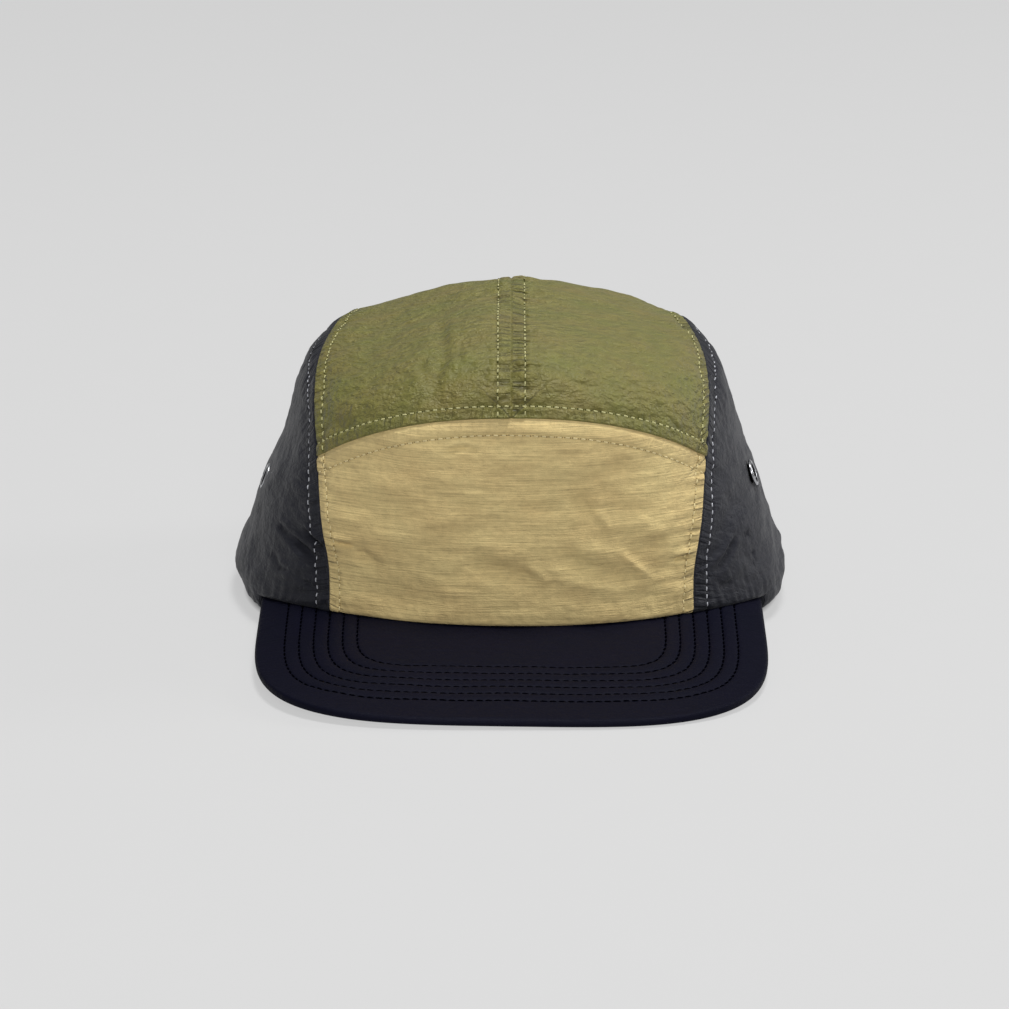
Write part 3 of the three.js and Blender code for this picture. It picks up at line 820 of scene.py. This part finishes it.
def peak():
    insets = peak_insets()
    line = np.array([inset_outline(inset) for inset in insets])
    inset = np.array(insets)[:, None] * np.ones(PEAK_COLUMNS)
    x, y = line[..., 0], line[..., 1]
    flat = np.stack([x, y, peak_top(x, y)], -1)
    edge = 1 - np.clip(inset / PEAK_ROUND, 0, 1)
    roll = PEAK_THICK / 2 * (1 - np.sqrt(np.clip(1 - edge ** 2, 0, 1)))
    relief = peak_relief(inset, line)
    upper = flat + (0, 0, 1) * (relief - roll)[..., None]
    lower = flat + (0, 0, 1) * (roll - relief * 0.7 - PEAK_THICK)[..., None]
    lower[..., 2] = np.maximum(lower[..., 2], PEAK_LEAST)
    obj = sheet_object("peak_cloth", upper, lower, line)
    runs = []
    normal = np.tile((0.0, -0.17, 0.985), (PEAK_COLUMNS, 1))
    for k, row in enumerate(STITCH_ROWS):
        i = insets.index(round(row, 3))
        runs.append(thread_run(upper[i], normal, *PEAK_THREAD, 300 + k))
        runs.append(thread_run(lower[i], -normal, *PEAK_THREAD_UNDER, 320 + k))
    return obj, runs


# Strap, slider and eyelets

def strap_points(x, share, depth):
    """Points on the strap: share of its width from the lower edge, depth inward."""
    x, share = np.broadcast_arrays(np.asarray(x, float), np.asarray(share, float))
    ends = []
    for height in (STRAP_LOW, STRAP_LOW + STRAP_WIDTH):
        z = np.full(x.shape, float(height))
        y = solve(lambda m: crown_level(x, m, z) < 1, x.shape, 20, 120)
        point = np.stack([x, y, z], -1)
        normal = crown_normals(point)
        ends.append(point - normal * STRAP_SET)
    low, high = ends
    up = high - low
    inward = unit(np.cross(np.cross(normal, up), up))
    return low + up * share[..., None] + inward * np.asarray(depth)[..., None]


def strap_threads():
    """A box of stitches at each end of the strap, on its inner face."""
    runs = []
    inward = np.tile((0.0, -1.0, 0.1), (12, 1))
    for side in (-1, 1):
        for share in (0.06, 0.94):
            line = strap_points(np.linspace(50, 61, 12) * side, share, STRAP_THICK)
            runs.append(thread_run(line, inward, *STRAP_THREAD, 400))
        for x in (51, 60):
            line = strap_points(np.full(12, float(x * side)), np.linspace(0.08, 0.92, 12), STRAP_THICK)
            runs.append(thread_run(line, inward, *STRAP_THREAD, 410))
    return runs


def back_strap():
    x = np.linspace(-STRAP_HALF, STRAP_HALF, 170)[None, :]
    share = np.concatenate([[0, 0.012, 0.03], np.linspace(0.055, 0.945, 34), [0.97, 0.988, 1]])[:, None]
    edge = np.minimum(share, 1 - share) * STRAP_WIDTH
    roll = STRAP_ROLL * np.clip(1 - edge / STRAP_ROLL_WIDE, 0, 1) ** 2
    ribs = STRAP_RIB * (0.5 + 0.5 * np.cos(share * STRAP_WIDTH * 2 * math.pi / STRAP_RIB_STEP))
    inset = (roll + ribs) * np.ones(x.shape)
    upper = strap_points(x, share, inset)
    lower = strap_points(x, share, STRAP_THICK - inset)
    uv = np.stack(np.broadcast_arrays(x, share * STRAP_WIDTH), -1)
    obj = sheet_object("back_strap_webbing", upper, lower, uv)
    strap_points(x, share, 0 * inset)
    return obj, strap_threads()


def body_object(name, body):
    mesh = bpy.data.meshes.new(name)
    body.to_mesh(mesh)
    body.free()
    return add_object(name, mesh)


def rounded_box(name, size, radius, segments):
    body = bmesh.new()
    bmesh.ops.create_cube(body, size=1)
    for v in body.verts:
        v.co = Vector(v.co[k] * size[k] for k in range(3))
    bmesh.ops.bevel(body, geom=body.edges[:], offset=radius, segments=segments, affect="EDGES")
    return body_object(name, body)


def cut(obj, tool):
    """Subtract tool from obj and keep the result as obj's own mesh."""
    modifier = obj.modifiers.new("cut", "BOOLEAN")
    modifier.operation = "DIFFERENCE"
    modifier.solver = "EXACT"
    modifier.object = tool
    bpy.context.view_layer.update()
    evaluated = obj.evaluated_get(bpy.context.evaluated_depsgraph_get())
    mesh = bpy.data.meshes.new_from_object(evaluated)
    obj.modifiers.clear()
    old = obj.data
    obj.data = mesh
    bpy.data.meshes.remove(old)
    bpy.data.objects.remove(tool)
    obj.data.shade_smooth()
    obj.data.set_sharp_from_angle(angle=SHARP)


def strap_slider():
    deep = STRAP_THICK / 2 + SLIDER_ROOM
    high = STRAP_WIDTH / 2 + SLIDER_ROOM
    outer = [v * MM for v in (2 * (deep + SLIDER_BAR), 2 * (high + SLIDER_BAR), SLIDER_LONG)]
    hole = [v * MM for v in (2 * deep, 2 * high, SLIDER_LONG * 2)]
    obj = rounded_box("strap_slider", outer, SLIDER_ROUND * MM, 4)
    cut(obj, rounded_box("slider_hole", hole, 0.4 * MM, 2))
    x = SLIDER_X + np.array([-4, 4, 0, 0, 0])
    left, right, low, high, middle = strap_points(x, [0.5, 0.5, 0, 1, 0.5], np.full(5, STRAP_THICK / 2))
    along = Vector(right - left).normalized()
    across = Vector(high - low).cross(along).normalized()
    turn = Matrix((across, along.cross(across), along)).transposed().to_4x4()
    obj.matrix_world = Matrix.Translation(Vector(place(middle))) @ turn
    return obj


def eyelet_place(side, y, z):
    """Where an eyelet sits, with its own axis square to the cloth."""
    x = float(solve(lambda m: crown_level(side * m, y, z) < 1, (), 20, 120)) * side
    point = np.array([x, y, z], float)
    axis = crown_normals(point)
    turn = Vector((0, 0, 1)).rotation_difference(Vector(axis)).to_matrix().to_4x4()
    return Matrix.Translation(Vector(place(point - axis * sunk(point)))) @ turn


# Section through an eyelet: radius and height above the cloth
EYELET_SIDES = 64
EYELET_PROFILE = [
    (3.2, -2.3), (3.25, -2.6), (3.5, -2.75), (4.2, -2.65), (4.6, -2.4), (4.62, -2.0), (4.2, -1.95),
    (3.45, -1.95), (3.42, 0.25), (3.6, 0.3), (4.6, 0.22), (4.83, 0.4), (4.85, 0.75), (4.74, 1.0),
    (4.45, 1.2), (4.1, 1.28), (3.75, 1.2), (3.45, 0.98), (3.28, 0.65), (3.22, 0.25), (3.2, -0.2),
]


def eyelet(name, side, y, z):
    profile = np.array(EYELET_PROFILE)
    angle = np.linspace(0, 2 * math.pi, EYELET_SIDES, endpoint=False)
    radius, height = profile[:, :1], profile[:, 1:] + 0 * angle
    points = np.stack([radius * np.cos(angle), radius * np.sin(angle), height], -1).reshape(-1, 3) * MM
    obj = mesh_object(name, points, tube_faces(*height.shape, True), sharp=0)
    obj.matrix_world = eyelet_place(side, y, z)
    return obj


def punch(obj, side, y, z):
    """Cut the eyelet's hole through a side panel."""
    body = bmesh.new()
    radius = EYELET_HOLE * MM
    bmesh.ops.create_cone(
        body, cap_ends=True, segments=48, radius1=radius, radius2=radius, depth=PUNCH_LONG * MM
    )
    tool = body_object("punch", body)
    tool.matrix_world = eyelet_place(side, y, z)
    cut(obj, tool)


# Materials

GRAIN_TONE = 0.07
# Painted shade and light on the cloth's wrinkle relief: how much darker its hollows and lighter its rises
# are
WRINKLE_SHADE_TONE = 0.05
# Painted shade in the pucker valleys beside the seams: how much darker the cloth is at their deepest
PUCKER_SHADE = 0.38
CREASE_HIGH = 0.10
MOTTLE_HIGH = 0.30
GRAIN_HIGH = 0.06
# Painted shade inside an eyelet's bore: full within the first radius, none past the second, in millimetres
EYELET_BORE_SHADE_TO = 3.5
EYELET_UNSHADED_FROM = 3.7


class Nodes:
    """A short way to lay out one material's nodes."""

    def __init__(self, name):
        self.material = bpy.data.materials.new(name)
        self.material.use_nodes = True
        self.tree = self.material.node_tree
        self.shader = self.tree.nodes["Principled BSDF"]

    def put(self, socket, value):
        if isinstance(value, bpy.types.NodeSocket):
            self.tree.links.new(value, socket)
        else:
            socket.default_value = value

    def fill(self, node, **inputs):
        for key, value in inputs.items():
            self.put(node.inputs[key.replace("_", " ")], value)
        return node

    def add(self, kind, **inputs):
        return self.fill(self.tree.nodes.new(kind), **inputs)

    def shade(self, colour, scale):
        """Base colour, made darker or lighter by a scale."""
        self.fill(self.shader, Base_Color=self.vector("SCALE", colour, scale))

    def bump(self, height, strength, distance):
        node = self.add("ShaderNodeBump", Height=height, Strength=strength, Distance=distance)
        self.fill(self.shader, Normal=node.outputs[0])

    def coordinates(self, kind):
        return self.add("ShaderNodeTexCoord").outputs[kind]

    def attribute(self, name):
        node = self.add("ShaderNodeAttribute")
        node.attribute_name = name
        return node.outputs["Fac"]

    def maths(self, operation, a, b):
        node = self.add("ShaderNodeMath")
        node.operation = operation
        self.put(node.inputs[0], a)
        self.put(node.inputs[1], b)
        return node.outputs[0]

    def total(self, first, *others):
        for term in others:
            first = self.maths("ADD", first, term)
        return first

    def vector(self, operation, a, b=None):
        node = self.add("ShaderNodeVectorMath")
        node.operation = operation
        self.put(node.inputs[0], a)
        if b is not None:
            self.put(node.inputs["Scale" if operation == "SCALE" else 1], b)
        return node.outputs["Value" if operation == "LENGTH" else "Vector"]

    def scaled(self, vector, scale, turn=0.0):
        turn = (0, 0, math.radians(turn))
        return self.add("ShaderNodeMapping", Vector=vector, Scale=scale, Rotation=turn).outputs[0]

    def noise(self, vector, scale, detail=2.0, roughness=0.5, turn=0.0):
        """Noise over a vector scaled by one number, or by one for each direction."""
        scale = (scale,) * 3 if isinstance(scale, (int, float)) else scale
        vector = self.scaled(vector, scale, turn)
        node = self.add("ShaderNodeTexNoise", Vector=vector, Scale=1.0, Detail=detail, Roughness=roughness)
        return node.outputs["Fac"]

    def warped(self, vector, scale, amount, stretch):
        """A vector shifted by soft noise, so that straight patterns wander, and then scaled."""
        shift = self.add("ShaderNodeTexNoise", Vector=vector, Scale=scale, Detail=2.0).outputs["Color"]
        return self.scaled(self.vector("ADD", vector, self.vector("SCALE", shift, amount)), stretch)

    def ramp(self, value, low, high, to_low, to_high):
        ends = {"From_Min": low, "From_Max": high, "To_Min": to_low, "To_Max": to_high}
        return self.add("ShaderNodeMapRange", Value=value, **ends).outputs[0]

    def spread(self, noise, low, high):
        """Noise, which stays near one half, spread between two values."""
        return self.ramp(noise, 0.3, 0.7, low, high)


def linear(rgb):
    return tuple(c / 255 / 12.92 if c <= 10 else ((c / 255 + 0.055) / 1.055) ** 2.4 for c in rgb)


def every(across, up):
    """Scale of a pattern about so many millimetres across and up."""
    return 1 / across, 1 / up, 1


def pucker_valleys(n):
    """Depth of the fine puckers, as rungs beside the nearest seam."""
    beside = n.add("ShaderNodeCombineXYZ", X=n.attribute("beside_x"), Y=n.attribute("beside_y"))
    rungs = n.noise(beside.outputs[0], every(16, 1.5), 1.5, 0.4)
    return n.maths("MULTIPLY", n.ramp(rungs, 0.50, 0.66, 0.0, 1.0), n.attribute("pucker"))


def creases(n, uv):
    """Crumpled cells: 0 on their edges, 1 inside."""
    cells = n.add("ShaderNodeTexVoronoi", Vector=n.warped(uv, 0.35, 2.2, every(6.5, 3.6)), Scale=1.0)
    cells.feature = "DISTANCE_TO_EDGE"
    return n.ramp(cells.outputs["Distance"], 0.0, 0.22, 0.0, 1.0)


def cloth_material(name, rgb, warm, streak, slub, rib, crumple, sheen=0.06, rough=0.78, shine=0.25):
    """Crinkled nylon: slubs across, slub mm long, blotches of two tones, relief in millimetres, and painted
    shade in its wrinkles and puckers.
    """
    n = Nodes(name)
    uv = n.coordinates("UV")
    sag = n.ramp(n.noise(uv, every(30, 30), 1.0), 0.2, 0.8, -0.7, 0.7)
    bent = n.vector("ADD", uv, n.add("ShaderNodeCombineXYZ", Y=sag).outputs[0])
    fine = n.noise(bent, every(slub, 0.36), roughness=0.6)
    long = n.noise(bent, every(slub * 2.6, 0.62))
    blotch = n.noise(uv, every(22, 15), 3.0, 0.55)
    mottle = n.noise(uv, every(2.6, 2.2))
    grain = n.noise(uv, (2.6, 2.6, 1))
    wrinkle = n.noise(uv, every(4.6, 3.0), 3.0, 0.55, turn=6)
    valley = pucker_valleys(n)
    # Painted shade in the hollows of the wrinkle relief, painted light on its rises
    wrinkle_shade = WRINKLE_SHADE_TONE * min(crumple, 2)
    tone = n.total(
        n.spread(fine, -streak, streak),
        n.spread(long, -streak, streak),
        n.spread(grain, -GRAIN_TONE, GRAIN_TONE),
        n.spread(mottle, -GRAIN_TONE, GRAIN_TONE),
        n.ramp(wrinkle, 0.35, 0.65, -wrinkle_shade, wrinkle_shade),
        1.0,
    )
    mix = n.add("ShaderNodeMix")
    mix.data_type = "RGBA"
    n.put(mix.inputs[0], n.ramp(blotch, 0.32, 0.68, 0.0, 1.0))
    mix.inputs[6].default_value = (*linear(rgb), 1)
    mix.inputs[7].default_value = (*linear(warm), 1)
    # Painted shade: the base colour is darker in the pucker valleys
    n.shade(mix.outputs[2], n.maths("SUBTRACT", tone, n.maths("MULTIPLY", valley, PUCKER_SHADE)))
    height = n.total(
        n.maths("MULTIPLY", wrinkle, crumple),
        n.maths("MULTIPLY", creases(n, uv), CREASE_HIGH * crumple),
        n.maths("MULTIPLY", mottle, MOTTLE_HIGH * crumple),
        n.maths("MULTIPLY", fine, rib),
        n.maths("MULTIPLY", long, rib * 1.2),
        n.maths("MULTIPLY", grain, GRAIN_HIGH),
    )
    n.bump(n.maths("SUBTRACT", height, valley), 1.0, MM)
    n.fill(
        n.shader, Roughness=n.spread(fine, rough - 0.06, rough + 0.06),
        Specular_IOR_Level=shine, Sheen_Weight=sheen, Sheen_Roughness=0.5,
    )
    return n.material


def thread_material(name, rgb, sheen, shine):
    n = Nodes(name)
    spot = n.coordinates("Object")
    twist = n.noise(spot, 2600, 1.0)
    drift = n.noise(spot, 90)
    n.shade(linear(rgb), n.maths("MULTIPLY", n.spread(twist, 0.86, 1.1), n.spread(drift, 0.88, 1.1)))
    n.bump(twist, 0.6, 0.05 * MM)
    n.fill(n.shader, Roughness=0.55, Specular_IOR_Level=shine, Sheen_Weight=sheen)
    return n.material


def webbing_material(name, rgb):
    n = Nodes(name)
    uv = n.coordinates("UV")
    cross = n.add("ShaderNodeTexWave", Vector=uv, Scale=0.24, Distortion=0.5)
    cross.bands_direction = "DIAGONAL"
    ribs = n.add("ShaderNodeTexWave", Vector=uv, Scale=0.36, Distortion=0.3)
    ribs.bands_direction = "Y"
    grain = n.noise(uv, (3, 3, 1))
    height = n.maths("ADD", cross.outputs["Fac"], ribs.outputs["Fac"])
    # Painted shade: the weave's tone follows its height, darker in its grooves and lighter on its ribs
    n.shade(linear(rgb), n.maths("ADD", n.ramp(height, 0, 2, 0.75, 1.2), n.spread(grain, -0.1, 0.1)))
    n.bump(height, 0.8, 0.12 * MM)
    n.fill(n.shader, Roughness=0.7)
    return n.material


def plastic_material(name, rgb):
    n = Nodes(name)
    spot = n.coordinates("Object")
    grain = n.noise(spot, 2200, 3.0)
    scuff = n.noise(spot, 160, 4.0)
    n.shade(linear(rgb), n.spread(scuff, 0.85, 1.2))
    n.bump(grain, 0.5, 0.03 * MM)
    n.fill(n.shader, Roughness=n.spread(scuff, 0.42, 0.6))
    return n.material


def metal_material(name, rgb):
    """Pressed metal, its own colour on its rim, with painted shade inside its bore."""
    n = Nodes(name)
    spot = n.coordinates("Object")
    tarnish = n.noise(spot, 350, 4.0)
    scratch = n.noise(spot, (3000, 700, 700))
    radius = n.vector("LENGTH", n.scaled(spot, (1, 1, 0)))
    # Painted shade: the base colour falls nearly to black inside the bore
    bore_shade = n.ramp(radius, EYELET_BORE_SHADE_TO * MM, EYELET_UNSHADED_FROM * MM, 0.05, 1.0)
    n.shade(linear(rgb), n.maths("MULTIPLY", bore_shade, n.spread(tarnish, 0.9, 1.05)))
    n.bump(scratch, 0.3, 0.01 * MM)
    n.fill(n.shader, Roughness=n.spread(tarnish, 0.22, 0.38), Metallic=1.0)
    return n.material


KHAKI = cloth_material(
    "khaki_nylon", (198, 178, 125), (190, 167, 116), streak=0.12, slub=13.0, rib=0.16, crumple=0.5
)
OLIVE = cloth_material(
    "olive_nylon", (101, 101, 45), (111, 102, 51), streak=0.035, slub=6.0, rib=0.07, crumple=2.3,
    sheen=0.05, rough=0.55, shine=0.4
)
CHARCOAL = cloth_material(
    "charcoal_nylon", (25, 26, 34), (29, 30, 36), streak=0.03, slub=6.0, rib=0.04, crumple=0.75,
    sheen=0.04, rough=0.55, shine=0.2
)
BLACK = cloth_material(
    "peak_nylon", (6, 7, 21), (7, 7, 22), streak=0.05, slub=9.0, rib=0.05, crumple=0.35,
    sheen=0.0, rough=0.65, shine=0.07
)
WEBBING = webbing_material("black_webbing", (28, 28, 31))
SLIDER = plastic_material("slider_plastic", (30, 30, 32))
STEEL = metal_material("eyelet_metal", (176, 177, 180))

# Threads: slot, colour, sheen, shine, and the colour of the painted shade at their needle holes
THREADS = {
    "khaki": ("khaki_cloth", (216, 200, 150), 0.1, 0.35, (146, 127, 84)),
    "olive": ("olive_cloth", (176, 172, 122), 0.1, 0.35, (70, 70, 36)),
    "grey": ("charcoal_cloth", (172, 173, 180), 0.1, 0.35, (14, 14, 17)),
    "black": ("peak_cloth", (2, 2, 5), 0.0, 0.0, None),
}


def dress(obj, material, slot, *nodes):
    obj.data.materials.clear()
    obj.data.materials.append(material)
    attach(obj, "root")
    if nodes:
        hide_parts(*nodes)


def cloth_threads(made, seed):
    """Stitches along every seam of a panel."""
    _, outer, normals, lines = made
    found = (crossings(outer, normals, *line) for line in lines)
    return [thread_run(*edge, *CLOTH_THREAD, seed + k) for k, edge in enumerate(found)]


def build_cap():
    front = front_panel()
    dress(front[0], KHAKI, "khaki_cloth", "front_panel")
    tops = {side: top_panel(side) for side in WORDS}
    for side, word in WORDS.items():
        dress(tops[side][0], OLIVE, "olive_cloth", "top_panel_" + word)
    sides = {side: side_panel(side) for side in WORDS}
    for side, word in WORDS.items():
        punch(sides[side][0], *EYELETS[word])
        dress(sides[side][0], CHARCOAL, "charcoal_cloth", "side_panel_" + word)
        ring = eyelet("eyelet_ring_" + word, *EYELETS[word])
        dress(ring, STEEL, "eyelet_metal", "eyelet_" + word)
    brim, brim_runs = peak()
    dress(brim, BLACK, "peak_cloth", "peak")
    strap, strap_runs = back_strap()
    dress(strap, WEBBING, "webbing", "back_strap")
    dress(strap_slider(), SLIDER, "slider_plastic", "strap_buckle")
    runs = {
        "khaki": cloth_threads(front, 200),
        "olive": cloth_threads(tops[-1], 210) + cloth_threads(tops[1], 220),
        "grey": cloth_threads(sides[-1], 230) + cloth_threads(sides[1], 240),
        "black": brim_runs + strap_runs,
    }
    for name, all_runs in runs.items():
        slot, rgb, sheen, shine, hole = THREADS[name]
        thread = thread_material(name + "_thread", rgb, sheen, shine)
        dress(thread_object("stitches_" + name, all_runs), thread, slot)
        if hole:
            # Painted shade: dark pieces at the stitch ends stand for the shade in the needle holes
            dark = thread_material(name + "_needle_hole_shade", hole, 0.0, 0.05)
            dress(thread_object("needle_hole_shades_" + name, hole_shade_runs(all_runs)), dark, slot)


# Studio

FLOOR_TONE = 0.15
FLOOR_GLOW = 0.512
FLOOR_HALF = 12
FLOOR_LOW = -0.0003
CROWN_WIDE = 0.099
CROWN_DEEP = 0.087
WORLD_LIGHT = 0.22

# Lamps: power in watts, side of the square and place
LAMP_TARGET = Vector((0, 0, 0.05))
LAMPS = {
    "top": (46, 0.6, (0.25, -0.15, 2.3)),
    "front": (33, 1.0, (0.15, -2.45, 1.15)),
    "side": (20, 0.8, (2.2, 0.6, 1.0)),
}


def floor_material():
    """Matt floor, lifted to a pale grey by a soft glow everywhere but inside the crown."""
    n = Nodes("studio_floor")
    spot = n.coordinates("Object")
    grain = n.noise(spot, 40)
    n.shade((FLOOR_TONE, FLOOR_TONE, FLOOR_TONE), n.spread(grain, 0.995, 1.005))
    from_crown = n.vector("SUBTRACT", spot, (0, CROWN_Y * MM, 0))
    share = n.vector("LENGTH", n.scaled(from_crown, (1 / CROWN_WIDE, 1 / CROWN_DEEP, 0)))
    n.fill(
        n.shader, Roughness=1.0, Specular_IOR_Level=0.0, Emission_Color=(1, 1, 1, 1),
        Emission_Strength=n.ramp(share, 0.96, 1.0, 0.0, FLOOR_GLOW),
    )
    return n.material


def lamp(name, energy, size, location):
    light = bpy.data.lights.new(name, "AREA")
    light.shape = "RECTANGLE"
    light.size = light.size_y = size
    light.energy = energy
    obj = add_object(name, light)
    obj.location = location
    obj.rotation_euler = (LAMP_TARGET - Vector(location)).to_track_quat("-Z", "Y").to_euler()


def studio():
    mesh = bpy.data.meshes.new("floor")
    corners = [(x * FLOOR_HALF, y * FLOOR_HALF, FLOOR_LOW) for x, y in ((-1, -1), (1, -1), (1, 1), (-1, 1))]
    mesh.from_pydata(corners, [], [(0, 1, 2, 3)])
    mesh.materials.append(floor_material())
    floor = add_object("floor", mesh)
    world = bpy.data.worlds.new("studio")
    bpy.context.scene.world = world
    world.use_nodes = True
    background = world.node_tree.nodes["Background"]
    background.inputs["Color"].default_value = (1, 1, 1, 1)
    background.inputs["Strength"].default_value = WORLD_LIGHT
    for name, settings in LAMPS.items():
        lamp(name, *settings)
    bpy.context.scene.view_settings.view_transform = "Standard"
    bpy.context.scene.view_settings.look = "None"


# Camera as the photograph has it: VIEW_RISE degrees above the floor, in front of the peak

VIEW_DISTANCE = 1.6
VIEW_TARGET = Vector((0, 0.0078, 0.0455))
VIEW_LENS = 158
SENSOR = 36
PHOTO_SIZE = 1009
VIEW_SHIFT = (-7 / PHOTO_SIZE, -19 / PHOTO_SIZE)


def camera():
    data = bpy.data.cameras.new("camera")
    data.lens = VIEW_LENS
    data.sensor_width = SENSOR
    data.shift_x, data.shift_y = VIEW_SHIFT
    data.clip_end = 50
    obj = add_object("camera", data)
    rise = math.radians(VIEW_RISE)
    obj.location = VIEW_TARGET + Vector((0, -math.cos(rise), math.sin(rise))) * VIEW_DISTANCE
    obj.rotation_euler = (math.pi / 2 - rise, 0, 0)
    bpy.context.scene.camera = obj


build_cap()
studio()
camera()
